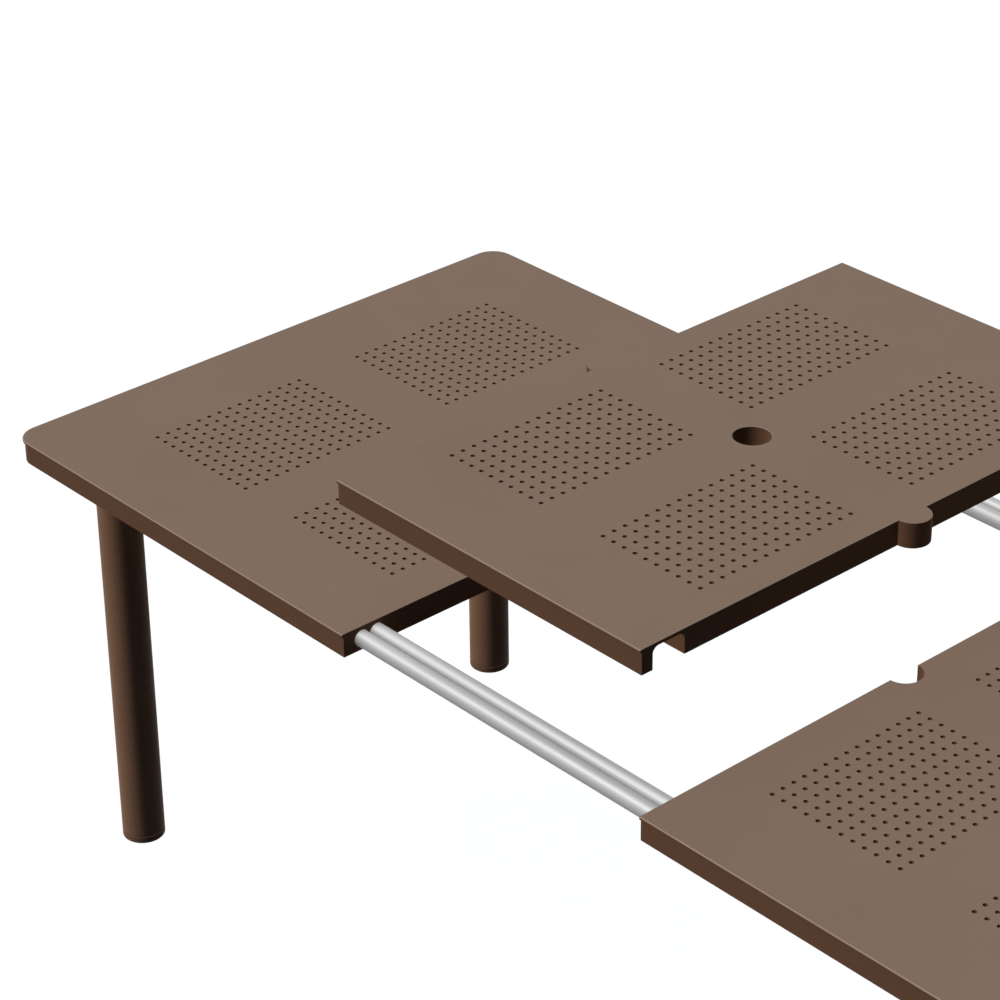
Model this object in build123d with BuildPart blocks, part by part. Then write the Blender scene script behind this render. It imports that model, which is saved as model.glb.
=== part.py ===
"""Extendable garden table: two half tops on round legs, joined by twin tube rails, with a loose leaf.

The halves are drawn apart and the leaf is held above its seat. Sizes are in millimetres. The origin is
on the floor under the middle of the opening, X runs along the extension, Y across the table and Z up.
"""
import os

from build123d import *

# Overall sizes
table_height = 750.0
table_width = 1000.0
half_length = 800.0
leaf_length = 590.0
leaf_lift = 248.0
edge_gap = 2.0

# Moulded tops
plate_thickness = 5.0
skirt_depth = 38.0
skirt_wall = 4.0
lip_overhang = 3.0
lip_top_round = 2.0
lip_under_round = 1.2
corner_radius = 38.0
rib_thickness = 3.0
rib_depth = 20.0
rib_margin = 6.0
tab_clearance = 0.7

# Drain holes, in square grids
hole_diameter = 7.0
hole_pitch = 20.0
patch_rows = 15
half_patch_columns = 12
leaf_patch_columns = 10
patch_row_middle = 200.0
inner_patch_middle = 190.0
outer_patch_middle = 530.0
leaf_patch_middle = 150.0

# Parasol hole in the leaf, and the half holes that make another when the halves meet
parasol_diameter = 55.0
parasol_rim_round = 1.0
collar_wall = 4.0

# Rails, two side by side along each long side
rail_diameter = 25.0
rail_wall = 2.0
rail_inset = 36.0
rail_gap = 2.5
rail_drop = 2.0
rail_engagement = 110.0
rail_clearance = 0.3
channel_clearance = 1.5
cutout_round = 10.0
window_clearance = 0.6
plug_clearance = 0.1
plug_depth = 30.0
plug_flange = 3.0
glide_head = 12.0
glide_lug_length = 8.0
glide_lug_width = 14.0
glide_lug_drop = 5.7

# Saddles that carry the rails
inner_saddle_length = 60.0
saddle_floor = 2.6
saddle_cheek = 3.0
saddle_cheek_drop = 5.0
saddle_ear_width = 11.6
saddle_ear_thickness = 5.0
saddle_skirt_gap = 0.5
saddle_screw_margin = 9.0
saddle_leg_gap = 2.0
boss_diameter = 10.0

# Legs and their sockets
leg_diameter = 70.0
leg_wall = 2.0
leg_inset = 104.0
leg_channel_gap = 0.5
leg_pad_thickness = 8.0
socket_flange = 5.0
socket_depth = 45.0
socket_wall = 4.0
socket_screw_circle = 36.0
socket_screw_count = 3
leg_screw_drop = 10.0
leg_fit = 0.1

# Feet
foot_height = 12.0
foot_round = 3.0
foot_seat_gap = 0.3
foot_stem_diameter = 10.0
foot_stem_length = 28.0
foot_stem_clearance = 0.3
insert_flange = 4.0
insert_depth = 25.0

# Screws
small_screw = 4.0
large_screw = 5.0
screw_clearance = 0.1
screw_head_ratio = 2.0
screw_head_height = 3.0
screw_head_round = 1.0
screw_socket_depth = 1.5
saddle_screw_bite = 12.0
rail_screw_bite = 2.3
socket_screw_bite = 5.5
leg_screw_bite = 3.0
pilot_spare = 1.0

# Heights below the table top
plate_under = -plate_thickness
skirt_bottom = -skirt_depth
rail_radius = rail_diameter / 2
rail_level = plate_under - rail_drop - rail_radius
groove_radius = rail_radius + rail_clearance
saddle_bottom = rail_level - groove_radius - saddle_floor
saddle_ear_top = saddle_bottom + saddle_ear_thickness
socket_top = plate_under - leg_pad_thickness
leg_top = socket_top - socket_flange

# Places across the table
outer_rail = table_width / 2 - rail_inset
inner_rail = outer_rail - rail_diameter - rail_gap
channel_outer = outer_rail + rail_radius + channel_clearance
channel_inner = inner_rail - rail_radius - channel_clearance
channel_middle = (channel_outer + channel_inner) / 2
channel_width = channel_outer - channel_inner
channel_wall_middle = channel_inner - rib_thickness / 2
leg_radius = leg_diameter / 2
leg_bore = leg_radius - leg_wall
leg_row = channel_inner - rib_thickness - leg_channel_gap - leg_radius
patch_half_width = (patch_rows - 1) * hole_pitch / 2
rib_rows = (
    patch_row_middle - patch_half_width - rib_margin,
    patch_row_middle + patch_half_width + rib_margin,
)

# Places along the extension, measured from a half's joint edge
opening = leaf_length + 2 * edge_gap
skirt_end = half_length - lip_overhang
leg_place = half_length - leg_inset
inner_saddle_start = skirt_wall + saddle_skirt_gap
inner_saddle_end = inner_saddle_start + inner_saddle_length
outer_saddle_start = leg_place + leg_radius + saddle_leg_gap
outer_saddle_end = half_length - corner_radius
rail_fixed_end = outer_saddle_end - 2 * plug_flange
rail_free_end = -opening - rail_engagement
saddle_spans = {
    "inner": (inner_saddle_start, inner_saddle_end),
    "outer": (outer_saddle_start, outer_saddle_end),
}
ear_reach = groove_radius + saddle_cheek + saddle_ear_width
ear_screw = ear_reach - saddle_ear_width / 2
notch_radius = parasol_diameter / 2
tab_radius = notch_radius - tab_clearance
half_ribs = [
    place + shift
    for place in (inner_patch_middle, outer_patch_middle)
    for shift in (
        -(half_patch_columns - 1) * hole_pitch / 2 - rib_margin,
        0.0,
        (half_patch_columns - 1) * hole_pitch / 2 + rib_margin,
    )
]
leaf_ribs = [
    side * leaf_patch_middle + shift
    for side in (-1, 1)
    for shift in (
        -(leaf_patch_columns - 1) * hole_pitch / 2 - rib_margin,
        0.0,
        (leaf_patch_columns - 1) * hole_pitch / 2 + rib_margin,
    )
]

# Each half has its own frame on the table top: x outward from the joint edge, y across, z up.
# One half is the other turned half round, so its y side is at the front or at the back.
half_frames = {
    "left": Plane(origin=(-opening / 2, 0, table_height), x_dir=(-1, 0, 0), z_dir=(0, 0, 1)),
    "right": Plane(origin=(opening / 2, 0, table_height), x_dir=(1, 0, 0), z_dir=(0, 0, 1)),
}
side_names = {("left", 1): "front", ("left", -1): "back", ("right", 1): "back", ("right", -1): "front"}
leaf_frame = Plane(origin=(0, 0, table_height + leaf_lift), x_dir=(1, 0, 0), z_dir=(0, 0, 1))


def save(piece, name):
    """Labels a finished piece and writes it."""
    piece.part.label = name
    export_step(piece.part, f"parts/{name}.step")


def across(frame, place):
    """Plane square to a frame's x at the given place, with y across and z up as its own axes."""
    return Plane(frame.from_local_coords(Vector(place, 0, 0)), x_dir=frame.y_dir, z_dir=frame.x_dir)


def half_outline(plane, outer_inset, joint_inset):
    """Outline of a half top, drawn in by one amount on its outer sides and by another at the joint edge."""
    length = half_length - outer_inset - joint_inset
    with BuildSketch(plane) as outline:
        with Locations((joint_inset + length / 2, 0)):
            Rectangle(length, table_width - 2 * outer_inset)
        fillet(outline.vertices().group_by(Axis.X)[-1], corner_radius - outer_inset)
        Circle(notch_radius + joint_inset, mode=Mode.SUBTRACT)
    return outline.sketch


def leaf_outline(plane, side_inset, joint_inset):
    """Outline of the leaf, with a round tab at both joint edges."""
    with BuildSketch(plane) as outline:
        Rectangle(leaf_length - 2 * joint_inset, table_width - 2 * side_inset)
        with Locations((-leaf_length / 2, 0), (leaf_length / 2, 0)):
            Circle(tab_radius - joint_inset)
    return outline.sketch


def drain_holes(plane, middles, columns):
    """Square grids of drain holes on both sides of the table's centre line."""
    with BuildSketch(plane) as holes:
        with Locations([(x, side * patch_row_middle) for x in middles for side in (-1, 1)]):
            with GridLocations(hole_pitch, hole_pitch, columns, patch_rows):
                Circle(hole_diameter / 2)
    return holes.sketch


def rail_cutouts(plane):
    """Openings in a joint skirt of the leaf that drop over the rails, rounded below the plate."""
    height = skirt_depth - plate_thickness
    with BuildSketch(plane) as cutouts:
        with Locations([(side * channel_middle, skirt_bottom + height / 2) for side in (-1, 1)]):
            Rectangle(channel_width, height)
        fillet(cutouts.vertices().group_by(Axis.Y)[-1], cutout_round)
    return cutouts.sketch


def rail_windows(plane):
    """Round windows in the joint skirt of a half that the rails slide through."""
    with BuildSketch(plane) as windows:
        with Locations([(side * row, rail_level) for row in (inner_rail, outer_rail) for side in (-1, 1)]):
            Circle(rail_radius + window_clearance)
    return windows.sketch


def saddle_plan():
    """Each saddle of a half: its side, its kind and the rails it carries, the fixed one first.

    On the frame's y side the fixed rail is the outer one, and on the other side the inner one.
    """
    plan = []
    for side, fixed, sliding in ((1, outer_rail, inner_rail), (-1, inner_rail, outer_rail)):
        plan.append((side, "inner", (side * fixed, side * sliding)))
        plan.append((side, "outer", (side * fixed,)))
    return plan


def ear_screw_places(kind, rails):
    """Screw places in the two ears of a saddle."""
    start, end = saddle_spans[kind]
    rows = (min(rails) - ear_screw, max(rails) + ear_screw)
    return [(x, y) for x in (start + saddle_screw_margin, end - saddle_screw_margin) for y in rows]


def rail_screw_place(kind, rails):
    """Screw place under the fixed rail of a saddle."""
    return (sum(saddle_spans[kind]) / 2, rails[0])


def half_screw_places():
    """All saddle screw places of a half."""
    return [spot for _, kind, rails in saddle_plan() for spot in ear_screw_places(kind, rails)]


def socket_screw_places():
    """Screw places around both leg centres of a half."""
    circle = PolarLocations(socket_screw_circle / 2, socket_screw_count)
    return [
        (leg_place + spot.position.X, side * leg_row + spot.position.Y)
        for side in (-1, 1)
        for spot in circle.local_locations
    ]


def make_half_top(side, frame):
    """Moulded half top: skirt, ribs, leg pads and bosses under a perforated plate with a rounded lip."""
    under = frame.offset(plate_under)
    floor = frame.offset(skirt_bottom)
    skirt_height = skirt_depth - plate_thickness
    wall_start = inner_saddle_end + saddle_skirt_gap
    wall_end = outer_saddle_start - saddle_skirt_gap
    rib_length = skirt_end - skirt_wall
    with BuildPart() as top:
        # Plate, with its lip rounded everywhere but at the joint edge
        extrude(half_outline(under, 0, 0), amount=plate_thickness)
        outward = Axis(frame.origin, frame.x_dir)
        lip = top.edges().filter_by_position(outward, 2 * notch_radius, half_length)
        fillet(lip.group_by(Axis.Z)[-1], lip_top_round)
        lip = top.edges().filter_by_position(outward, 2 * notch_radius, half_length)
        fillet(lip.group_by(Axis.Z)[0], lip_under_round)
        # Skirt, open for the rails at the joint edge
        with BuildSketch(floor) as skirt:
            add(floor.to_local_coords(half_outline(floor, lip_overhang, 0)))
            hollow = half_outline(floor, lip_overhang + skirt_wall, skirt_wall)
            add(floor.to_local_coords(hollow), mode=Mode.SUBTRACT)
        extrude(skirt.sketch, amount=skirt_height)
        extrude(rail_windows(across(frame, 0)), amount=skirt_wall, mode=Mode.SUBTRACT)
        # Ribs around and across the patches, and the walls of the rail channels
        with BuildSketch(under) as ribs:
            with Locations([(x, 0) for x in half_ribs]):
                Rectangle(rib_thickness, 2 * channel_wall_middle)
            with Locations([(skirt_wall / 2 + rib_length / 2, s * y) for y in rib_rows for s in (-1, 1)]):
                Rectangle(rib_length, rib_thickness)
        extrude(ribs.sketch, amount=-rib_depth)
        with BuildSketch(under) as walls:
            with Locations([((wall_start + wall_end) / 2, s * channel_wall_middle) for s in (-1, 1)]):
                Rectangle(wall_end - wall_start, rib_thickness)
        extrude(walls.sketch, amount=-skirt_height)
        # Leg pads and screw bosses, with their pilot holes
        with BuildSketch(under) as pads:
            with Locations([(leg_place, s * leg_row) for s in (-1, 1)]):
                Circle(leg_radius)
        extrude(pads.sketch, amount=-leg_pad_thickness)
        with BuildSketch(under) as bosses:
            with Locations(half_screw_places()):
                Circle(boss_diameter / 2)
        extrude(bosses.sketch, amount=saddle_ear_top - plate_under)
        with BuildSketch(frame.offset(saddle_ear_top)) as boss_pilots:
            with Locations(half_screw_places()):
                Circle(small_screw / 2 + screw_clearance)
        extrude(boss_pilots.sketch, amount=saddle_screw_bite + pilot_spare, mode=Mode.SUBTRACT)
        with BuildSketch(frame.offset(socket_top)) as pad_pilots:
            with Locations(socket_screw_places()):
                Circle(large_screw / 2 + screw_clearance)
        extrude(pad_pilots.sketch, amount=socket_screw_bite + pilot_spare, mode=Mode.SUBTRACT)
        # Drain holes
        middles = (inner_patch_middle, outer_patch_middle)
        holes = drain_holes(under, middles, half_patch_columns)
        extrude(holes, amount=plate_thickness, mode=Mode.SUBTRACT, clean=False)
    save(top, f"{side}_top")


def make_leaf_top(frame):
    """Moulded leaf: skirt, rail channels, ribs and parasol collar under a perforated plate."""
    under = frame.offset(plate_under)
    floor = frame.offset(skirt_bottom)
    skirt_height = skirt_depth - plate_thickness
    rib_length = leaf_length - skirt_wall
    with BuildPart() as leaf:
        # Plate, with its lip rounded along the two sides
        extrude(leaf_outline(under, 0, 0), amount=plate_thickness)
        fillet(leaf.edges().filter_by(Axis.X).group_by(Axis.Z)[-1], lip_top_round)
        fillet(leaf.edges().filter_by(Axis.X).group_by(Axis.Z)[0], lip_under_round)
        # Skirt, open for the rails at both ends
        with BuildSketch(floor) as skirt:
            add(floor.to_local_coords(leaf_outline(floor, lip_overhang, 0)))
            hollow = leaf_outline(floor, lip_overhang + skirt_wall, skirt_wall)
            add(floor.to_local_coords(hollow), mode=Mode.SUBTRACT)
        extrude(skirt.sketch, amount=skirt_height)
        extrude(rail_cutouts(across(frame, -leaf_length / 2)), amount=leaf_length, mode=Mode.SUBTRACT)
        # Ribs around and across the patches, and the walls of the rail channels
        with BuildSketch(under) as ribs:
            with Locations([(x, 0) for x in leaf_ribs]):
                Rectangle(rib_thickness, 2 * channel_wall_middle)
            with Locations([(0, s * y) for y in rib_rows for s in (-1, 1)]):
                Rectangle(rib_length, rib_thickness)
        extrude(ribs.sketch, amount=-rib_depth)
        with BuildSketch(under) as walls:
            with Locations([(0, s * channel_wall_middle) for s in (-1, 1)]):
                Rectangle(rib_length, rib_thickness)
        extrude(walls.sketch, amount=-skirt_height)
        # Low ribs across the rail channels, which rest on the rails
        with BuildSketch(under) as rests:
            with Locations([(x, s * channel_middle) for x in leaf_ribs for s in (-1, 1)]):
                Rectangle(rib_thickness, channel_width)
        extrude(rests.sketch, amount=rail_clearance - rail_drop)
        # Parasol collar
        with BuildSketch(under) as collar:
            Circle(parasol_diameter / 2 + collar_wall)
        extrude(collar.sketch, amount=-skirt_height)
        # Parasol hole through plate and collar, with a rounded rim
        with BuildSketch(floor) as parasol:
            Circle(parasol_diameter / 2)
        extrude(parasol.sketch, amount=skirt_depth, mode=Mode.SUBTRACT)
        rims = leaf.edges().filter_by(GeomType.CIRCLE).group_by(Axis.Z)[-1]
        fillet(rims.sort_by_distance(frame.origin)[0], parasol_rim_round)
        # Drain holes
        middles = (-leaf_patch_middle, leaf_patch_middle)
        holes = drain_holes(under, middles, leaf_patch_columns)
        extrude(holes, amount=plate_thickness, mode=Mode.SUBTRACT, clean=False)
    save(leaf, "leaf_top")


def make_leg(name, frame, row):
    """Straight leg tube, drilled near its top for the screw that holds it to its socket."""
    bottom = foot_height + foot_seat_gap + insert_flange - table_height
    with BuildPart() as leg:
        with BuildSketch(frame.offset(bottom)):
            with Locations((leg_place, row)):
                Circle(leg_radius)
                Circle(leg_bore, mode=Mode.SUBTRACT)
        extrude(amount=leg_top - bottom)
        with BuildSketch(across(frame, leg_place)):
            with Locations((row, leg_top - leg_screw_drop)):
                Circle(large_screw / 2 + screw_clearance)
        extrude(amount=-leg_diameter, mode=Mode.SUBTRACT)
    save(leg, f"{name}_leg")


def make_leg_socket(name, frame, row):
    """Socket under the plate: a flange screwed to the leg pad, and a cup that fills the top of the leg."""
    spigot_radius = leg_bore - leg_fit
    with BuildPart() as socket:
        with BuildSketch(frame.offset(leg_top)) as flange:
            with Locations((leg_place, row)):
                Circle(leg_radius)
        extrude(flange.sketch, amount=socket_flange)
        with BuildSketch(frame.offset(leg_top)) as cup:
            with Locations((leg_place, row)):
                Circle(spigot_radius)
                Circle(spigot_radius - socket_wall, mode=Mode.SUBTRACT)
        extrude(cup.sketch, amount=-socket_depth)
        with BuildSketch(frame.offset(leg_top)) as screw_holes:
            with Locations((leg_place, row)):
                with PolarLocations(socket_screw_circle / 2, socket_screw_count):
                    Circle(large_screw / 2 + screw_clearance)
        extrude(screw_holes.sketch, amount=socket_flange, mode=Mode.SUBTRACT)
        with BuildSketch(across(frame, leg_place)) as leg_screw_hole:
            with Locations((row, leg_top - leg_screw_drop)):
                Circle(large_screw / 2 + screw_clearance)
        extrude(leg_screw_hole.sketch, amount=-leg_diameter, mode=Mode.SUBTRACT)
    save(socket, f"{name}_leg_socket")


def make_foot_insert(name, frame, row):
    """Plug in the lower end of the leg, bored for the stem of the foot."""
    bottom = foot_height + foot_seat_gap - table_height
    with BuildPart() as insert:
        with BuildSketch(frame.offset(bottom)) as flange:
            with Locations((leg_place, row)):
                Circle(leg_radius)
        extrude(flange.sketch, amount=insert_flange)
        with BuildSketch(frame.offset(bottom + insert_flange)) as plug:
            with Locations((leg_place, row)):
                Circle(leg_bore - leg_fit)
        extrude(plug.sketch, amount=insert_depth)
        with BuildSketch(frame.offset(bottom)) as bore:
            with Locations((leg_place, row)):
                Circle(foot_stem_diameter / 2 + foot_stem_clearance)
        extrude(bore.sketch, amount=insert_flange + insert_depth, mode=Mode.SUBTRACT)
    save(insert, f"{name}_foot_insert")


def make_foot(name, frame, row):
    """Levelling foot as wide as the leg, rounded at the floor, on a stem."""
    with BuildPart() as foot:
        with BuildSketch(frame.offset(-table_height)) as base:
            with Locations((leg_place, row)):
                Circle(leg_radius)
        extrude(base.sketch, amount=foot_height)
        fillet(foot.edges().group_by(Axis.Z)[0], foot_round)
        with BuildSketch(frame.offset(foot_height - table_height)) as stem:
            with Locations((leg_place, row)):
                Circle(foot_stem_diameter / 2)
        extrude(stem.sketch, amount=foot_stem_length)
    save(foot, f"{name}_foot")


def make_rail(name, frame, row, spots):
    """Rail tube from its fixed end to its free end in the other half, drilled below for its lock screws."""
    with BuildPart() as rail:
        with BuildSketch(across(frame, rail_fixed_end)) as tube:
            with Locations((row, rail_level)):
                Circle(rail_radius)
                Circle(rail_radius - rail_wall, mode=Mode.SUBTRACT)
        extrude(tube.sketch, amount=rail_free_end - rail_fixed_end)
        with BuildSketch(frame.offset(rail_level)) as screw_holes:
            with Locations(spots):
                Circle(small_screw / 2 + screw_clearance)
        extrude(screw_holes.sketch, amount=-rail_radius, mode=Mode.SUBTRACT)
    save(rail, f"{name}_rail")


def make_rail_plug(name, frame, row):
    """Plug that closes the fixed end of a rail."""
    with BuildPart() as plug:
        with BuildSketch(across(frame, rail_fixed_end)) as flange:
            with Locations((row, rail_level)):
                Circle(rail_radius)
        extrude(flange.sketch, amount=plug_flange)
        with BuildSketch(across(frame, rail_fixed_end)) as stopper:
            with Locations((row, rail_level)):
                Circle(rail_radius - rail_wall - plug_clearance)
        extrude(stopper.sketch, amount=-plug_flange)
    save(plug, f"{name}_rail_plug")


def make_rail_glide(name, frame, row):
    """Glide in the free end of a rail, with a lug below that stops the rail at the other half's saddle."""
    with BuildPart() as glide:
        with BuildSketch(across(frame, rail_free_end)) as head:
            with Locations((row, rail_level)):
                Circle(rail_radius)
        extrude(head.sketch, amount=-glide_head)
        with BuildSketch(across(frame, rail_free_end)) as stopper:
            with Locations((row, rail_level)):
                Circle(rail_radius - rail_wall - plug_clearance)
        extrude(stopper.sketch, amount=plug_depth)
        with BuildSketch(across(frame, rail_free_end)) as lug:
            drop = rail_radius + glide_lug_drop
            with Locations((row, rail_level - drop / 2)):
                Rectangle(glide_lug_width, drop)
        extrude(lug.sketch, amount=-glide_lug_length)
    save(glide, f"{name}_rail_glide")


def make_saddle(name, frame, kind, rails):
    """Saddle screwed under the plate: round grooves for its rails, cheeks beside them and two ears."""
    start, end = saddle_spans[kind]
    low = min(rails)
    high = max(rails)
    middle = (low + high) / 2
    cheek_reach = groove_radius + saddle_cheek
    cheek_height = rail_level - saddle_cheek_drop - saddle_bottom
    with BuildPart() as saddle:
        with BuildSketch(across(frame, start)) as profile:
            with Locations((middle, saddle_bottom + saddle_ear_thickness / 2)):
                Rectangle(high - low + 2 * ear_reach, saddle_ear_thickness)
            with Locations((middle, saddle_bottom + cheek_height / 2)):
                Rectangle(high - low + 2 * cheek_reach, cheek_height)
            with Locations([(row, rail_level) for row in rails]):
                Circle(groove_radius, mode=Mode.SUBTRACT)
        extrude(profile.sketch, amount=end - start)
        with BuildSketch(frame.offset(saddle_bottom)) as screw_holes:
            with Locations(ear_screw_places(kind, rails) + [rail_screw_place(kind, rails)]):
                Circle(small_screw / 2 + screw_clearance)
        extrude(screw_holes.sketch, amount=saddle_ear_thickness, mode=Mode.SUBTRACT)
    save(saddle, f"{name}_{kind}_saddle")


def make_screws(name, plane, spots, diameter, length):
    """Group of pan-head screws standing on a plane, each with a hexagon socket in its head."""
    head_radius = diameter * screw_head_ratio / 2
    with BuildPart() as screws:
        with BuildSketch(plane) as heads:
            with Locations(spots):
                Circle(head_radius)
        extrude(heads.sketch, amount=-screw_head_height)
        rims = screws.edges().filter_by(GeomType.CIRCLE).group_by(Axis(plane.origin, plane.z_dir))[0]
        fillet(rims, screw_head_round)
        with BuildSketch(plane) as shanks:
            with Locations(spots):
                Circle(diameter / 2)
        extrude(shanks.sketch, amount=length)
        with BuildSketch(plane.offset(-screw_head_height)) as sockets:
            with Locations(spots):
                RegularPolygon(diameter / 2, 6)
        extrude(sockets.sketch, amount=screw_socket_depth, mode=Mode.SUBTRACT)
    save(screws, name)


def make_half(side, frame):
    """Everything that belongs to one half of the table."""
    make_half_top(side, frame)
    for sign in (1, -1):
        name = f"{side}_{side_names[side, sign]}"
        make_leg(name, frame, sign * leg_row)
        make_leg_socket(name, frame, sign * leg_row)
        make_foot_insert(name, frame, sign * leg_row)
        make_foot(name, frame, sign * leg_row)
    rail_spots = []
    for sign, kind, rails in saddle_plan():
        name = f"{side}_{side_names[side, sign]}"
        make_saddle(name, frame, kind, rails)
        rail_spots.append(rail_screw_place(kind, rails))
        if kind == "outer":
            make_rail(name, frame, rails[0], rail_spots[-2:])
            make_rail_plug(name, frame, rails[0])
            make_rail_glide(name, frame, rails[0])
    saddle_plane = frame.offset(saddle_bottom)
    saddle_screw = saddle_ear_thickness + saddle_screw_bite
    rail_screw = saddle_floor + rail_clearance + rail_wall + rail_screw_bite
    make_screws(f"{side}_saddle_screws", saddle_plane, half_screw_places(), small_screw, saddle_screw)
    make_screws(f"{side}_rail_screws", saddle_plane, rail_spots, small_screw, rail_screw)
    socket_screw = socket_flange + socket_screw_bite
    make_screws(
        f"{side}_socket_screws", frame.offset(leg_top), socket_screw_places(), large_screw, socket_screw
    )
    leg_face = across(frame, leg_place - leg_radius)
    leg_screw = leg_wall + leg_fit + socket_wall + leg_screw_bite
    leg_spots = [(sign * leg_row, leg_top - leg_screw_drop) for sign in (1, -1)]
    make_screws(f"{side}_leg_screws", leg_face, leg_spots, large_screw, leg_screw)


os.makedirs("parts", exist_ok=True)
for half_side, half_frame in half_frames.items():
    make_half(half_side, half_frame)
make_leaf_top(leaf_frame)
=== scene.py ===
"""Finishes and stage of the extendable garden table, laid out as an add-on."""
import math

import bpy
from mathutils import Matrix, Vector

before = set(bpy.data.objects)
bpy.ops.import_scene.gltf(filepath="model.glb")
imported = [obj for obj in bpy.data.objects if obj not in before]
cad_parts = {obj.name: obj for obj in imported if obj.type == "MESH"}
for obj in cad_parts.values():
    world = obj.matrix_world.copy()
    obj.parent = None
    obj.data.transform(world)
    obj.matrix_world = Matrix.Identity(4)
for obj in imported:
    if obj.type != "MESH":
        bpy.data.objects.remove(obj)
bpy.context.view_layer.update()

bl_info = {
    "name": "Extendable Garden Table",
    "version": (1, 0, 0),
    "blender": (4, 5, 0),
    "location": "3D View > Sidebar > Garden Table",
    "description": "Finishes the parts of an extendable garden table and sets its stage",
    "category": "Object",
}

# Names of the CAD nodes
SIDES = ("left", "right")
PLACES = ("front", "back")
TOP_NODES = ("left_top", "right_top", "leaf_top")
FITTING_KINDS = ("inner_saddle", "outer_saddle", "rail_glide", "rail_plug", "leg_socket")
SCREW_KINDS = ("saddle", "rail", "socket", "leg")

# Node trees
WHITE = (1.0, 1.0, 1.0, 1.0)
NODE_SPACING = 220.0
MIX_FACTOR, MIX_FIRST, MIX_SECOND = 0, 6, 7  # inputs of a Mix node that mixes colours
MIX_RESULT = 2  # its colour output
NOISE_LOW, NOISE_HIGH = 0.3, 0.7  # nearly all of a noise's values lie between

# Surface grain: patches are counted per metre, and shares are of the whole
FINE_DETAIL = 3.0
PITS_PER_GRAIN, PIT_DETAIL = 0.3, 2.0
GRAIN_SHARE = 0.65
TONE_PATCHES, TONE_DETAIL = 4.5, 4.0
PATCH_SHARE = 0.6
GLOSS_PATCHES, GLOSS_DETAIL = 11.0, 5.0

# Edges lightened as rubbed wear and as a painted highlight: how far the rounded normal agrees
# with the flat one, and how patchy the rub is
EDGE_SAMPLES = 6
EDGE_FLAT, EDGE_TURNED = 0.995, 0.86
RUB_PATCHES, RUB_DETAIL = 60.0, 3.0
RUB_LOW, RUB_HIGH = 0.32, 0.68
RUB_LEAST = 0.45

# Upward faces of the tops are painted paler, partly as bleaching by the sun and partly as a
# painted sheen; the rounded lips get a painted highlight. Limits for the upward part of the
# normal
SKY_LOW, SKY_HIGH = 0.55, 0.95
FADE_AND_SHEEN_UNEVENNESS = 0.08
FADE_AND_SHEEN_PATCHES, FADE_AND_SHEEN_DETAIL = 7.0, 4.0
# Limits of the rounded lips that get a painted highlight
LIP_START, LIP_FULL = 0.15, 0.4
LIP_FADING, LIP_END = 0.9, 0.985

# Drawn lines: they run along X, so the noise is stretched that way
DRAWN_STRETCH = (0.004, 1.0, 1.0)
LINE_DETAIL, LINE_ROUGHNESS = 3.0, 0.6
BROAD_LINES, BROAD_DETAIL = 240.0, 2.0
LINE_SHARE = 0.5

# Finishes: counts per metre, depths and widths in metres, spread of tone as a share
TOP_GRAIN = {"grains": 900.0, "depth": 0.00012, "edge_width": 0.001, "spread": 0.05}
LEG_GRAIN = {"grains": 1400.0, "depth": 0.00008, "edge_width": 0.0015, "spread": 0.05}
FOOT_GRAIN = {"grains": 700.0, "depth": 0.00015, "edge_width": 0.002, "spread": 0.07}
FITTING_GRAIN = {"grains": 800.0, "depth": 0.0001, "edge_width": 0.001, "spread": 0.12}
RAIL_LINES = {"lines": 1500.0, "depth": 0.00005}
SCREW_LINES = {"lines": 2600.0, "depth": 0.00003}
COATED_EDGE_WEAR_AND_HIGHLIGHT, FITTING_EDGE_WEAR_AND_HIGHLIGHT = 1.1, 3.0  # how much lighter edges are, as rubbed wear and as a painted highlight
ROUGHNESS_SPREAD = 0.05
GRAIN_BUMP, LINE_BUMP = 0.5, 0.25
METAL_GLOSS = 0.2
LINE_DARK, LINE_LIGHT = 0.9, 1.06
# Painted shade: colour darkened where surfaces lie close together, as between the two rails
GAP_SHADE_TONE, GAP_SHADE_REACH, GAP_SHADE_SAMPLES = 0.8, 0.008, 8
GAP_SHADE_FULL, GAP_SHADE_NONE = 0.3, 1.0  # openness of a gap with full and with no painted shade

# Stage
SENSOR_WIDTH = 36.0
CLIP_END = 200.0
LAMP_AIM = Vector((0.0, 0.0, 0.75))
LAMP_DISTANCE = 6.0
FLOOR_DROP = 0.0005  # keeps the floor just clear of the feet
PANEL_SKIPS = ("rna_type", "name")


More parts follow.
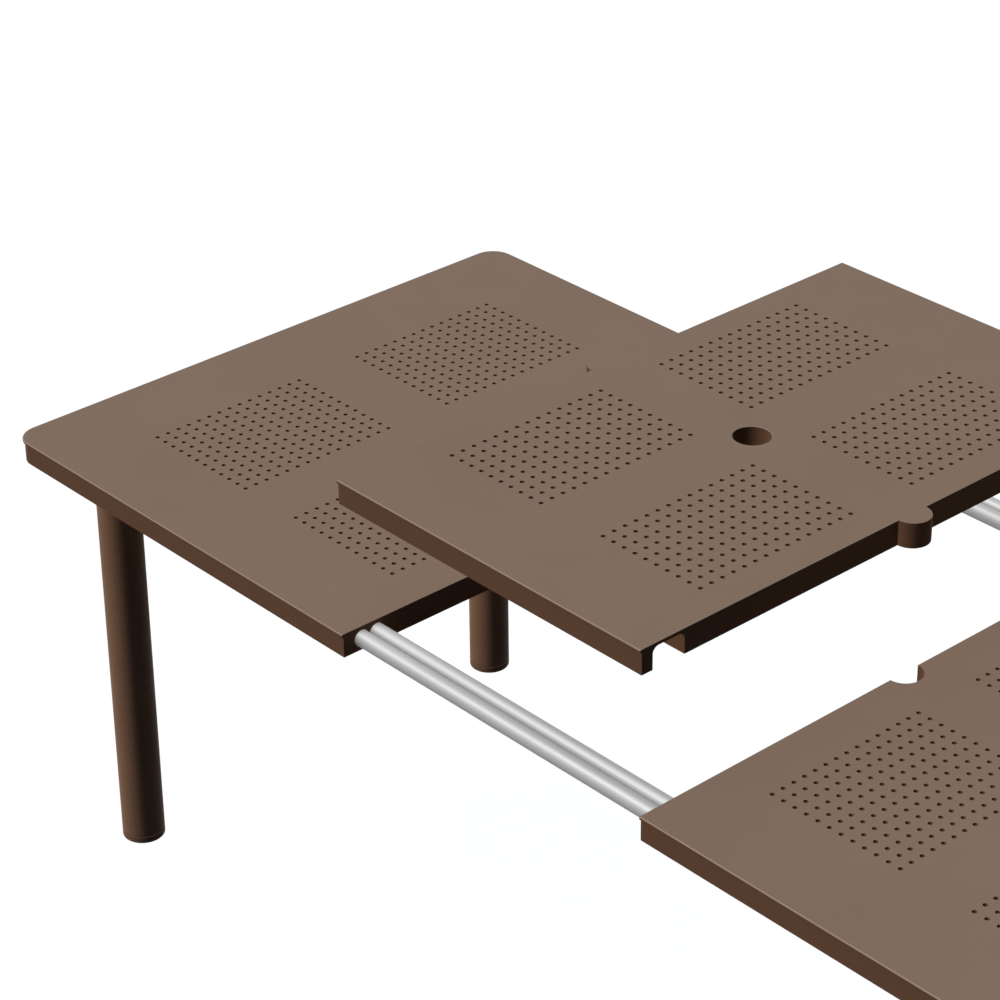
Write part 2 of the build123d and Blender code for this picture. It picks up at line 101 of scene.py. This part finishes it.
class TableFinish(bpy.types.PropertyGroup):
    """Colours and surface values of the table's finishes."""

    top_colour: bpy.props.FloatVectorProperty(
        name="Top colour", description="Colour of the moulded tops at their sides",
        subtype="COLOR", size=3, min=0.0, max=1.0, default=(0.156, 0.0775, 0.0437))
    # Paler colour of upward faces: partly bleaching by the sun, partly a painted sheen
    faded_and_sheen_colour: bpy.props.FloatVectorProperty(
        name="Faded and sheen colour", description="Colour of the moulded tops where they face the sky",
        subtype="COLOR", size=3, min=0.0, max=1.0, default=(0.1868, 0.1300, 0.0940))
    # Painted highlight along the tops' rounded lips
    lip_highlight_colour: bpy.props.FloatVectorProperty(
        name="Lip highlight colour", description="Colour of the moulded tops along their highlit lips",
        subtype="COLOR", size=3, min=0.0, max=1.0, default=(0.280, 0.208, 0.161))
    top_roughness: bpy.props.FloatProperty(
        name="Top roughness", description="Mean roughness of the moulded tops",
        subtype="FACTOR", min=0.0, max=1.0, default=0.56)
    top_gloss: bpy.props.FloatProperty(
        name="Top gloss", description="How much the moulded tops mirror",
        subtype="FACTOR", min=0.0, max=1.0, default=0.022)
    leg_colour: bpy.props.FloatVectorProperty(
        name="Leg colour", description="Colour of the coated leg tubes",
        subtype="COLOR", size=3, min=0.0, max=1.0, default=(0.254, 0.132, 0.077))
    leg_roughness: bpy.props.FloatProperty(
        name="Leg roughness", description="Mean roughness of the legs and the feet",
        subtype="FACTOR", min=0.0, max=1.0, default=0.5)
    leg_gloss: bpy.props.FloatProperty(
        name="Leg gloss", description="How much the leg coating mirrors",
        subtype="FACTOR", min=0.0, max=1.0, default=0.045)
    foot_colour: bpy.props.FloatVectorProperty(
        name="Foot colour", description="Colour of the levelling feet and their inserts",
        subtype="COLOR", size=3, min=0.0, max=1.0, default=(0.200, 0.107, 0.065))
    foot_gloss: bpy.props.FloatProperty(
        name="Foot gloss", description="How much the feet mirror",
        subtype="FACTOR", min=0.0, max=1.0, default=0.04)
    rail_colour: bpy.props.FloatVectorProperty(
        name="Rail colour", description="Colour of the drawn rails",
        subtype="COLOR", size=3, min=0.0, max=1.0, default=(0.458, 0.454, 0.4495))
    rail_roughness: bpy.props.FloatProperty(
        name="Rail roughness", description="Mean roughness of the drawn rails",
        subtype="FACTOR", min=0.0, max=1.0, default=0.58)
    rail_metallic: bpy.props.FloatProperty(
        name="Rail metallic", description="How far the rails' metal shows through its dull skin",
        subtype="FACTOR", min=0.0, max=1.0, default=0.35)
    fitting_colour: bpy.props.FloatVectorProperty(
        name="Fitting colour", description="Colour of saddles, glides, plugs and leg sockets",
        subtype="COLOR", size=3, min=0.0, max=1.0, default=(0.020, 0.019, 0.018))
    fitting_roughness: bpy.props.FloatProperty(
        name="Fitting roughness", description="Mean roughness of the dark fittings",
        subtype="FACTOR", min=0.0, max=1.0, default=0.52)
    fitting_gloss: bpy.props.FloatProperty(
        name="Fitting gloss", description="How much the dark fittings mirror",
        subtype="FACTOR", min=0.0, max=1.0, default=0.4)
    screw_colour: bpy.props.FloatVectorProperty(
        name="Screw colour", description="Colour of the plated screws",
        subtype="COLOR", size=3, min=0.0, max=1.0, default=(0.56, 0.56, 0.58))
    screw_roughness: bpy.props.FloatProperty(
        name="Screw roughness", description="Mean roughness of the plated screws",
        subtype="FACTOR", min=0.0, max=1.0, default=0.34)
    screw_metallic: bpy.props.FloatProperty(
        name="Screw metallic", description="How far the screws' metal shows",
        subtype="FACTOR", min=0.0, max=1.0, default=1.0)


class TableStage(bpy.types.PropertyGroup):
    """Camera, lamps and floor around the table."""

    camera_place: bpy.props.FloatVectorProperty(
        name="Camera place", description="Where the camera stands",
        subtype="TRANSLATION", unit="LENGTH", size=3, default=(2.7424, -2.8975, 3.1514))
    camera_yaw: bpy.props.FloatProperty(
        name="Camera yaw", description="Turn of the camera about the upright axis, from +Y to +X",
        subtype="ANGLE", unit="ROTATION", default=math.radians(-48.445))
    camera_pitch: bpy.props.FloatProperty(
        name="Camera pitch", description="How far the camera looks down",
        subtype="ANGLE", unit="ROTATION", default=math.radians(29.521))
    camera_roll: bpy.props.FloatProperty(
        name="Camera roll", description="Tilt of the camera about its line of sight",
        subtype="ANGLE", unit="ROTATION", default=math.radians(-0.683))
    camera_lens: bpy.props.FloatProperty(
        name="Focal length", description="Focal length in millimetres, on a 36 mm wide sensor",
        unit="CAMERA", min=1.0, default=117.907)
    key_direction: bpy.props.FloatVectorProperty(
        name="Key direction", description="Direction towards the lamp from the front left",
        subtype="DIRECTION", size=3, default=(-0.265, -0.431, 0.862))
    key_strength: bpy.props.FloatProperty(
        name="Key strength", description="Strength of the lamp from the front left",
        min=0.0, default=3.64)
    key_spread: bpy.props.FloatProperty(
        name="Key spread", description="How wide the lamp from the front left looks",
        subtype="ANGLE", unit="ROTATION", default=math.radians(12.0))
    overhead_direction: bpy.props.FloatVectorProperty(
        name="Overhead direction", description="Direction towards the soft lamp above",
        subtype="DIRECTION", size=3, default=(-0.12, -0.10, 1.0))
    overhead_strength: bpy.props.FloatProperty(
        name="Overhead strength", description="Strength of the soft lamp above",
        min=0.0, default=0.25)
    overhead_spread: bpy.props.FloatProperty(
        name="Overhead spread", description="How wide the soft lamp above looks",
        subtype="ANGLE", unit="ROTATION", default=math.radians(70.0))
    back_direction: bpy.props.FloatVectorProperty(
        name="Back direction", description="Direction towards the faint lamp behind the table",
        subtype="DIRECTION", size=3, default=(-0.72, 0.68, 0.1))
    back_strength: bpy.props.FloatProperty(
        name="Back strength", description="Strength of the faint lamp behind the table",
        min=0.0, default=0.78)
    back_spread: bpy.props.FloatProperty(
        name="Back spread", description="How wide the faint lamp behind the table looks",
        subtype="ANGLE", unit="ROTATION", default=math.radians(10.0))
    bounce_direction: bpy.props.FloatVectorProperty(
        name="Bounce direction", description="Direction towards the light that comes up",
        subtype="DIRECTION", size=3, default=(0.0, 0.0, -1.0))
    bounce_strength: bpy.props.FloatProperty(
        name="Bounce strength", description="Strength of the light that comes up from the floor",
        min=0.0, default=1.0)
    bounce_spread: bpy.props.FloatProperty(
        name="Bounce spread", description="How wide the light that comes up from the floor looks",
        subtype="ANGLE", unit="ROTATION", default=math.radians(2.0))
    ambient_colour: bpy.props.FloatVectorProperty(
        name="Ambient colour", description="Colour and strength of the cool light from all round",
        subtype="COLOR", size=3, min=0.0, max=1.0, default=(0.003, 0.040, 0.082))
    floor_size: bpy.props.FloatProperty(
        name="Floor size", description="Width of the floor",
        unit="LENGTH", min=1.0, default=60.0)
    floor_tone: bpy.props.FloatProperty(
        name="Floor tone", description="How pale the floor is under the lamps",
        subtype="FACTOR", min=0.0, max=1.0, default=0.8)
    floor_glow: bpy.props.FloatProperty(
        name="Floor glow", description="Light that the floor adds to its own tone",
        subtype="FACTOR", min=0.0, max=1.0, default=0.14)
    floor_reflection: bpy.props.FloatProperty(
        name="Floor reflection", description="How bright the floor is in reflections",
        subtype="FACTOR", min=0.0, max=1.0, default=0.8)
    floor_return: bpy.props.FloatProperty(
        name="Floor return", description="Share of the light that the floor throws on the table",
        subtype="FACTOR", min=0.0, max=1.0, default=0.012)


def add_node(tree, kind, inputs=(), **settings):
    """A new node with its settings and input values, set beside the last one."""
    node = tree.nodes.new(kind)
    node.location = (NODE_SPACING * len(tree.nodes), 0.0)
    for name, value in settings.items():
        setattr(node, name, value)
    for name, value in dict(inputs).items():
        node.inputs[name].default_value = value
    return node


def wire(tree, source, target):
    """Links an output socket to an input socket."""
    tree.links.new(source, target)


def feed(tree, value, target):
    """Gives an input socket a number or a colour, or links an output socket to it."""
    if isinstance(value, (int, float, tuple)):
        target.default_value = value
    else:
        wire(tree, value, target)


def new_group(name, inputs, outputs):
    """An empty shader node group with named value sockets, and its two end nodes."""
    tree = bpy.data.node_groups.new(name, "ShaderNodeTree")
    for label, default in inputs.items():
        socket = tree.interface.new_socket(
            label, in_out="INPUT", socket_type="NodeSocketFloat")
        socket.default_value = default
    for label in outputs:
        tree.interface.new_socket(label, in_out="OUTPUT", socket_type="NodeSocketFloat")
    entry = add_node(tree, "NodeGroupInput")
    leave = add_node(tree, "NodeGroupOutput")
    return tree, entry, leave


def object_place(tree):
    """The place on the object, in metres, that textures start from."""
    return add_node(tree, "ShaderNodeTexCoord").outputs["Object"]


def ramp_value(tree, source, low, high, to_low=0.0, to_high=1.0):
    """Maps a value's range to another one, held at both ends."""
    ranged = add_node(tree, "ShaderNodeMapRange", {
        "From Min": low, "From Max": high, "To Min": to_low, "To Max": to_high})
    wire(tree, source, ranged.inputs["Value"])
    return ranged.outputs["Result"]


def math_value(tree, operation, first, second):
    """A math node on two values, each a socket or a number."""
    node = add_node(tree, "ShaderNodeMath", operation=operation)
    feed(tree, first, node.inputs[0])
    feed(tree, second, node.inputs[1])
    return node.outputs[0]


def share_value(tree, first, second, share):
    """Two values added up, the first with the given share and the second with the rest."""
    return math_value(
        tree, "ADD", math_value(tree, "MULTIPLY", first, share),
        math_value(tree, "MULTIPLY", second, 1.0 - share))


def noise_value(tree, place, scale, detail, roughness=0.5):
    """Noise at a place; the scale is a socket or a number."""
    noise = add_node(tree, "ShaderNodeTexNoise", {"Detail": detail, "Roughness": roughness})
    wire(tree, place, noise.inputs["Vector"])
    feed(tree, scale, noise.inputs["Scale"])
    return noise.outputs["Fac"]


def grain_group():
    """Fine grain of a mould or a coating, with slow changes of tone and gloss."""
    name = "Surface grain"
    if name in bpy.data.node_groups:
        return bpy.data.node_groups[name]
    tree, entry, leave = new_group(
        name, {"Grains per metre": TOP_GRAIN["grains"]}, ("Height", "Tone", "Gloss"))
    place = object_place(tree)
    grains = entry.outputs["Grains per metre"]
    grain = noise_value(tree, place, grains, FINE_DETAIL)
    pit_scale = math_value(tree, "MULTIPLY", grains, PITS_PER_GRAIN)
    pits = noise_value(tree, place, pit_scale, PIT_DETAIL)
    wire(tree, share_value(tree, grain, pits, GRAIN_SHARE), leave.inputs["Height"])
    slow = noise_value(tree, place, TONE_PATCHES, TONE_DETAIL)
    patches = ramp_value(tree, slow, NOISE_LOW, NOISE_HIGH)
    speckle = ramp_value(tree, grain, NOISE_LOW, NOISE_HIGH)
    wire(tree, share_value(tree, patches, speckle, PATCH_SHARE), leave.inputs["Tone"])
    gloss = noise_value(tree, place, GLOSS_PATCHES, GLOSS_DETAIL)
    wire(tree, ramp_value(tree, gloss, NOISE_LOW, NOISE_HIGH), leave.inputs["Gloss"])
    return tree


def wear_and_highlight_edge_group():
    """Edges lightened as rubbed wear and as a painted highlight: strong where the surface turns
    within the given width.
    """
    name = "Rubbed edges"
    if name in bpy.data.node_groups:
        return bpy.data.node_groups[name]
    tree, entry, leave = new_group(name, {"Width": FOOT_GRAIN["edge_width"]}, ("Mask",))
    rounded = add_node(tree, "ShaderNodeBevel", samples=EDGE_SAMPLES)
    wire(tree, entry.outputs["Width"], rounded.inputs["Radius"])
    plain = add_node(tree, "ShaderNodeNewGeometry")
    turn = add_node(tree, "ShaderNodeVectorMath", operation="DOT_PRODUCT")
    wire(tree, rounded.outputs["Normal"], turn.inputs[0])
    wire(tree, plain.outputs["True Normal"], turn.inputs[1])
    edge = ramp_value(tree, turn.outputs["Value"], EDGE_FLAT, EDGE_TURNED)
    rub = noise_value(tree, object_place(tree), RUB_PATCHES, RUB_DETAIL)
    patchy = ramp_value(tree, rub, RUB_LOW, RUB_HIGH, RUB_LEAST, 1.0)
    wire(tree, math_value(tree, "MULTIPLY", edge, patchy), leave.inputs["Mask"])
    return tree


def fading_and_sheen_group():
    """Masks of faces that look up to the sky, unevenly, for bleaching by the sun and a painted
    sheen, and of rounded lips apart from them, for a painted highlight.
    """
    name = "Sky fading"
    if name in bpy.data.node_groups:
        return bpy.data.node_groups[name]
    tree, entry, leave = new_group(name, {"Unevenness": FADE_AND_SHEEN_UNEVENNESS}, ("Mask", "Lip"))
    surface = add_node(tree, "ShaderNodeNewGeometry")
    parts = add_node(tree, "ShaderNodeSeparateXYZ")
    wire(tree, surface.outputs["True Normal"], parts.inputs[0])
    height = parts.outputs["Z"]
    upward = ramp_value(tree, height, SKY_LOW, SKY_HIGH)
    patches = noise_value(tree, object_place(tree), FADE_AND_SHEEN_PATCHES, FADE_AND_SHEEN_DETAIL)
    uneven = math_value(tree, "MULTIPLY", patches, entry.outputs["Unevenness"])
    wire(tree, math_value(tree, "SUBTRACT", upward, uneven), leave.inputs["Mask"])
    # Rounded lips, for the painted highlight
    rising = ramp_value(tree, height, LIP_START, LIP_FULL)
    falling = ramp_value(tree, height, LIP_END, LIP_FADING)
    wire(tree, math_value(tree, "MULTIPLY", rising, falling), leave.inputs["Lip"])
    return tree


def drawn_group():
    """Fine lines along a drawn tube, which lies along the table's length."""
    name = "Drawn lines"
    if name in bpy.data.node_groups:
        return bpy.data.node_groups[name]
    tree, entry, leave = new_group(
        name, {"Lines per metre": RAIL_LINES["lines"]}, ("Height", "Tone"))
    stretched = add_node(tree, "ShaderNodeVectorMath", operation="MULTIPLY")
    stretched.inputs[1].default_value = DRAWN_STRETCH
    wire(tree, object_place(tree), stretched.inputs[0])
    along = stretched.outputs["Vector"]
    lines = noise_value(
        tree, along, entry.outputs["Lines per metre"], LINE_DETAIL, LINE_ROUGHNESS)
    wire(tree, lines, leave.inputs["Height"])
    broad = noise_value(tree, along, BROAD_LINES, BROAD_DETAIL)
    tone = share_value(tree, lines, broad, LINE_SHARE)
    wire(tree, ramp_value(tree, tone, NOISE_LOW, NOISE_HIGH), leave.inputs["Tone"])
    return tree


def place_group(tree, group, **values):
    """Puts a node group into a material with its own values."""
    node = add_node(tree, "ShaderNodeGroup", node_tree=group)
    for name, value in values.items():
        node.inputs[name.replace("_", " ")].default_value = value
    return node


def empty_material(name):
    """A material with nothing but its output node."""
    material = bpy.data.materials.new(name)
    material.use_nodes = True
    tree = material.node_tree
    tree.nodes.clear()
    output = add_node(tree, "ShaderNodeOutputMaterial")
    return material, tree, output


def principled_material(name, gloss):
    """A material with a Principled shader of the given gloss on its output."""
    material, tree, output = empty_material(name)
    shader = add_node(tree, "ShaderNodeBsdfPrincipled", {"Specular IOR Level": gloss})
    wire(tree, shader.outputs["BSDF"], output.inputs["Surface"])
    return material, tree, shader


def shade(colour, factor=1.0):
    """A colour made darker or lighter by a factor, with full opacity."""
    return tuple(min(1.0, part * factor) for part in colour) + (1.0,)


def mix_colour(tree, factor, first, second):
    """A colour mixed between two by a socket, each a socket or a colour."""
    node = add_node(tree, "ShaderNodeMix", data_type="RGBA")
    wire(tree, factor, node.inputs[MIX_FACTOR])
    feed(tree, first, node.inputs[MIX_FIRST])
    feed(tree, second, node.inputs[MIX_SECOND])
    return node.outputs[MIX_RESULT]


def toned_colour(tree, tone, colour, spread):
    """A colour that a tone makes darker and lighter by the given spread."""
    return mix_colour(tree, tone, shade(colour, 1.0 - spread), shade(colour, 1.0 + spread))


def set_bump(tree, shader, height, distance, strength):
    """Bump from a height, wired to the shader's normal."""
    bump = add_node(tree, "ShaderNodeBump", {"Strength": strength, "Distance": distance})
    wire(tree, height, bump.inputs["Height"])
    wire(tree, bump.outputs["Normal"], shader.inputs["Normal"])


def grained_material(name, colour, wear_and_highlight_colour, roughness, gloss, grains, depth, edge_width,
                     spread, faded_and_sheen=None, lip=None):
    """Plastic or coating with grain, uneven tone and edges lightened as rubbed wear and as a
    painted highlight; on the tops, upward faces painted paler as bleaching by the sun and as a
    painted sheen, and a painted highlight on the rounded lips.
    """
    material, tree, shader = principled_material(name, gloss)
    grain = place_group(tree, grain_group(), Grains_per_metre=grains)
    edge = place_group(tree, wear_and_highlight_edge_group(), Width=edge_width)
    body = toned_colour(tree, grain.outputs["Tone"], colour, spread)
    if faded_and_sheen is not None:
        # Upward faces painted paler, partly as bleaching by the sun and partly as a painted sheen
        fading_and_sheen = place_group(tree, fading_and_sheen_group())
        pale = toned_colour(tree, grain.outputs["Tone"], faded_and_sheen, spread)
        body = mix_colour(tree, fading_and_sheen.outputs["Mask"], body, pale)
        # Rounded lips get a painted highlight
        body = mix_colour(tree, fading_and_sheen.outputs["Lip"], body, shade(lip))
    # Edges take the lighter colour, as rubbed wear and as a painted highlight
    worn_and_highlit = mix_colour(tree, edge.outputs["Mask"], body, wear_and_highlight_colour)
    wire(tree, worn_and_highlit, shader.inputs["Base Color"])
    rough = ramp_value(
        tree, grain.outputs["Gloss"], 0.0, 1.0,
        roughness - ROUGHNESS_SPREAD, roughness + ROUGHNESS_SPREAD)
    wire(tree, rough, shader.inputs["Roughness"])
    set_bump(tree, shader, grain.outputs["Height"], depth, GRAIN_BUMP)
    return material


def drawn_material(name, colour, roughness, metallic, lines, depth):
    """Metal with fine drawn lines, bare or under a thin dull skin, with painted shade darkening
    its colour in narrow gaps.
    """
    material, tree, shader = principled_material(name, METAL_GLOSS)
    shader.inputs["Metallic"].default_value = metallic
    drawn = place_group(tree, drawn_group(), Lines_per_metre=lines)
    # Painted shade in narrow gaps, from ambient occlusion
    openness = add_node(
        tree, "ShaderNodeAmbientOcclusion", {"Distance": GAP_SHADE_REACH}, samples=GAP_SHADE_SAMPLES)
    unshaded = ramp_value(tree, openness.outputs["AO"], GAP_SHADE_FULL, GAP_SHADE_NONE)
    lined = mix_colour(
        tree, drawn.outputs["Tone"], shade(colour, LINE_DARK), shade(colour, LINE_LIGHT))
    tint = mix_colour(tree, unshaded, shade(colour, GAP_SHADE_TONE), lined)
    wire(tree, tint, shader.inputs["Base Color"])
    rough = ramp_value(
        tree, drawn.outputs["Tone"], 0.0, 1.0,
        roughness + ROUGHNESS_SPREAD, roughness - ROUGHNESS_SPREAD)
    wire(tree, rough, shader.inputs["Roughness"])
    set_bump(tree, shader, drawn.outputs["Height"], depth, LINE_BUMP)
    return material


def dress(material, nodes):
    """Gives CAD nodes a material in every slot."""
    for node in nodes:
        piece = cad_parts[node]
        for slot in piece.material_slots:
            slot.link = "OBJECT"
            slot.material = material


def corner_nodes(*kinds):
    """Node names of the given kinds at the four corners of the table."""
    return [f"{side}_{place}_{kind}" for side in SIDES for place in PLACES for kind in kinds]


class TABLE_OT_finish_tops(bpy.types.Operator):
    """Finish the moulded half tops and the leaf"""

    bl_idname = "garden_table.finish_tops"
    bl_label = "Finish tops"

    def execute(self, context):
        values = context.scene.table_finish
        # Upward faces get a paler colour, partly bleaching by the sun and partly a painted sheen,
        # and the rounded lips a painted highlight
        material = grained_material(
            "Brown moulded resin", values.top_colour, shade(values.faded_and_sheen_colour),
            values.top_roughness, values.top_gloss, **TOP_GRAIN,
            faded_and_sheen=values.faded_and_sheen_colour, lip=values.lip_highlight_colour)
        dress(material, TOP_NODES)
        return {"FINISHED"}


class TABLE_OT_finish_legs(bpy.types.Operator):
    """Finish the coated leg tubes"""

    bl_idname = "garden_table.finish_legs"
    bl_label = "Finish legs"

    def execute(self, context):
        values = context.scene.table_finish
        material = grained_material(
            "Brown coated tube", values.leg_colour, shade(values.leg_colour, COATED_EDGE_WEAR_AND_HIGHLIGHT),
            values.leg_roughness, values.leg_gloss, **LEG_GRAIN)
        dress(material, corner_nodes("leg"))
        return {"FINISHED"}


class TABLE_OT_finish_feet(bpy.types.Operator):
    """Finish the levelling feet and their inserts"""

    bl_idname = "garden_table.finish_feet"
    bl_label = "Finish feet"

    def execute(self, context):
        values = context.scene.table_finish
        material = grained_material(
            "Brown foot plastic", values.foot_colour, shade(values.foot_colour, COATED_EDGE_WEAR_AND_HIGHLIGHT),
            values.leg_roughness, values.foot_gloss, **FOOT_GRAIN)
        dress(material, corner_nodes("foot", "foot_insert"))
        return {"FINISHED"}


class TABLE_OT_finish_rails(bpy.types.Operator):
    """Finish the drawn tube rails"""

    bl_idname = "garden_table.finish_rails"
    bl_label = "Finish rails"

    def execute(self, context):
        values = context.scene.table_finish
        material = drawn_material(
            "Drawn aluminium", values.rail_colour, values.rail_roughness,
            values.rail_metallic, **RAIL_LINES)
        dress(material, corner_nodes("rail"))
        return {"FINISHED"}


class TABLE_OT_finish_fittings(bpy.types.Operator):
    """Finish saddles, glides, plugs and leg sockets"""

    bl_idname = "garden_table.finish_fittings"
    bl_label = "Finish fittings"

    def execute(self, context):
        values = context.scene.table_finish
        material = grained_material(
            "Dark fitting plastic", values.fitting_colour,
            shade(values.fitting_colour, FITTING_EDGE_WEAR_AND_HIGHLIGHT),
            values.fitting_roughness, values.fitting_gloss, **FITTING_GRAIN)
        dress(material, corner_nodes(*FITTING_KINDS))
        return {"FINISHED"}


class TABLE_OT_finish_screws(bpy.types.Operator):
    """Finish the plated screws"""

    bl_idname = "garden_table.finish_screws"
    bl_label = "Finish screws"

    def execute(self, context):
        values = context.scene.table_finish
        material = drawn_material(
            "Plated screw steel", values.screw_colour, values.screw_roughness,
            values.screw_metallic, **SCREW_LINES)
        dress(material, [f"{side}_{kind}_screws" for side in SIDES for kind in SCREW_KINDS])
        return {"FINISHED"}


def add_camera(values):
    """The camera, with its place, turn and focal length from the stage values."""
    yaw, pitch, roll = values.camera_yaw, values.camera_pitch, values.camera_roll
    level = Vector((math.sin(yaw), math.cos(yaw), 0.0))
    forward = level * math.cos(pitch) - Vector((0.0, 0.0, math.sin(pitch)))
    right = Vector((math.cos(yaw), -math.sin(yaw), 0.0))
    upward = right.cross(forward)
    rolled_right = right * math.cos(roll) + upward * math.sin(roll)
    rolled_up = upward * math.cos(roll) - right * math.sin(roll)
    data = bpy.data.cameras.new("Table camera")
    data.sensor_width = SENSOR_WIDTH
    data.lens = values.camera_lens
    data.clip_end = CLIP_END
    camera = bpy.data.objects.new("Table camera", data)
    turn = Matrix((rolled_right, rolled_up, -forward)).transposed().to_4x4()
    camera.matrix_world = Matrix.Translation(Vector(values.camera_place)) @ turn
    bpy.context.scene.collection.objects.link(camera)
    bpy.context.scene.camera = camera


def add_lamp(name, direction, strength, spread, shadow=True):
    """A sun lamp in the given direction from the table's middle, shining back at it."""
    data = bpy.data.lights.new(name, "SUN")
    data.energy = strength
    data.angle = spread
    data.use_shadow = shadow
    lamp = bpy.data.objects.new(name, data)
    towards = Vector(direction).normalized()
    lamp.rotation_euler = towards.to_track_quat("Z", "Y").to_euler()
    lamp.location = LAMP_AIM + towards * LAMP_DISTANCE
    bpy.context.scene.collection.objects.link(lamp)
    return lamp


def add_lamps(values):
    """The key lamp, the soft lamp above, the faint one behind and the light from the floor."""
    # Only the lamp above casts the soft shadow on the floor.
    add_lamp("Key lamp", values.key_direction, values.key_strength, values.key_spread,
             shadow=False)
    add_lamp("Overhead lamp", values.overhead_direction, values.overhead_strength,
             values.overhead_spread)
    back = add_lamp("Back lamp", values.back_direction, values.back_strength,
                    values.back_spread, shadow=False)
    back.visible_glossy = False  # it would glare on the tops
    add_lamp("Floor bounce", values.bounce_direction, values.bounce_strength,
             values.bounce_spread)


def seen_share(tree, glossy=1.0):
    """One for camera and transmission rays, a share for glossy rays and zero for the rest."""
    path = add_node(tree, "ShaderNodeLightPath")
    reflected = math_value(tree, "MULTIPLY", path.outputs["Is Glossy Ray"], glossy)
    seen = math_value(
        tree, "MAXIMUM", path.outputs["Is Camera Ray"], path.outputs["Is Transmission Ray"])
    return math_value(tree, "MAXIMUM", seen, reflected)


def set_world(values):
    """A white surround to look at, which lights the table only with a faint cool tone."""
    world = bpy.data.worlds.new("White surround")
    world.use_nodes = True
    tree = world.node_tree
    tree.nodes.clear()
    output = add_node(tree, "ShaderNodeOutputWorld")
    background = add_node(tree, "ShaderNodeBackground")
    colour = mix_colour(tree, seen_share(tree), shade(values.ambient_colour), WHITE)
    wire(tree, colour, background.inputs["Color"])
    wire(tree, background.outputs["Background"], output.inputs["Surface"])
    bpy.context.scene.world = world


def mix_shaders(tree, factor, first, second):
    """Two shaders mixed by a socket."""
    node = add_node(tree, "ShaderNodeMixShader")
    for place, source in enumerate((factor, first, second)):
        wire(tree, source, node.inputs[place])
    return node.outputs["Shader"]


def floor_material(values):
    """Pale to the eye and in reflections, dark to other light, and clear from below."""
    material, tree, output = empty_material("Pale floor")
    dim = add_node(
        tree, "ShaderNodeBsdfDiffuse", {"Color": shade((values.floor_return,) * 3)})
    shaded = add_node(
        tree, "ShaderNodeBsdfDiffuse", {"Color": shade((values.floor_tone,) * 3)})
    glow = add_node(
        tree, "ShaderNodeEmission", {"Color": WHITE, "Strength": values.floor_glow})
    pale = add_node(tree, "ShaderNodeAddShader")
    wire(tree, shaded.outputs["BSDF"], pale.inputs[0])
    wire(tree, glow.outputs["Emission"], pale.inputs[1])
    seen = seen_share(tree, values.floor_reflection)
    above = mix_shaders(tree, seen, dim.outputs["BSDF"], pale.outputs["Shader"])
    clear = add_node(tree, "ShaderNodeBsdfTransparent")
    below = add_node(tree, "ShaderNodeNewGeometry").outputs["Backfacing"]
    both = mix_shaders(tree, below, above, clear.outputs["BSDF"])
    wire(tree, both, output.inputs["Surface"])
    return material


def add_floor(values):
    """A plain pale floor that keeps a faint shadow of the table."""
    half = values.floor_size / 2
    mesh = bpy.data.meshes.new("Floor")
    corners = [(-half, -half, 0.0), (half, -half, 0.0), (half, half, 0.0), (-half, half, 0.0)]
    mesh.from_pydata(corners, [], [(0, 1, 2, 3)])
    mesh.materials.append(floor_material(values))
    floor = bpy.data.objects.new("Floor", mesh)
    floor.location.z = -FLOOR_DROP
    floor.visible_shadow = False  # lets the bounce light through
    bpy.context.scene.collection.objects.link(floor)


class TABLE_OT_set_stage(bpy.types.Operator):
    """Set the camera, the lamps, the white surround and the pale floor"""

    bl_idname = "garden_table.set_stage"
    bl_label = "Set stage"

    def execute(self, context):
        values = context.scene.table_stage
        add_camera(values)
        add_lamps(values)
        set_world(values)
        add_floor(values)
        context.scene.view_settings.view_transform = "Standard"
        return {"FINISHED"}


OPERATORS = (
    TABLE_OT_finish_tops,
    TABLE_OT_finish_legs,
    TABLE_OT_finish_feet,
    TABLE_OT_finish_rails,
    TABLE_OT_finish_fittings,
    TABLE_OT_finish_screws,
    TABLE_OT_set_stage,
)


class TABLE_PT_sidebar(bpy.types.Panel):
    """Finishes and stage of the garden table"""

    bl_label = "Garden Table"
    bl_idname = "TABLE_PT_sidebar"
    bl_space_type = "VIEW_3D"
    bl_region_type = "UI"
    bl_category = "Garden Table"

    def draw(self, context):
        for group in (context.scene.table_finish, context.scene.table_stage):
            box = self.layout.box()
            for name in group.bl_rna.properties.keys():
                if name not in PANEL_SKIPS:
                    box.prop(group, name)
        for operator in OPERATORS:
            self.layout.operator(operator.bl_idname)


CLASSES = (TableFinish, TableStage) + OPERATORS + (TABLE_PT_sidebar,)


def register():
    """Registers the classes and the scene's table properties."""
    for entry in CLASSES:
        bpy.utils.register_class(entry)
    bpy.types.Scene.table_finish = bpy.props.PointerProperty(type=TableFinish)
    bpy.types.Scene.table_stage = bpy.props.PointerProperty(type=TableStage)


def unregister():
    """Takes the table properties and the classes away again."""
    del bpy.types.Scene.table_stage
    del bpy.types.Scene.table_finish
    for entry in reversed(CLASSES):
        bpy.utils.unregister_class(entry)


def main():
    """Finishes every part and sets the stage."""
    register()
    bpy.ops.garden_table.finish_tops()
    bpy.ops.garden_table.finish_legs()
    bpy.ops.garden_table.finish_feet()
    bpy.ops.garden_table.finish_rails()
    bpy.ops.garden_table.finish_fittings()
    bpy.ops.garden_table.finish_screws()
    bpy.ops.garden_table.set_stage()


if __name__ == "__main__":
    main()
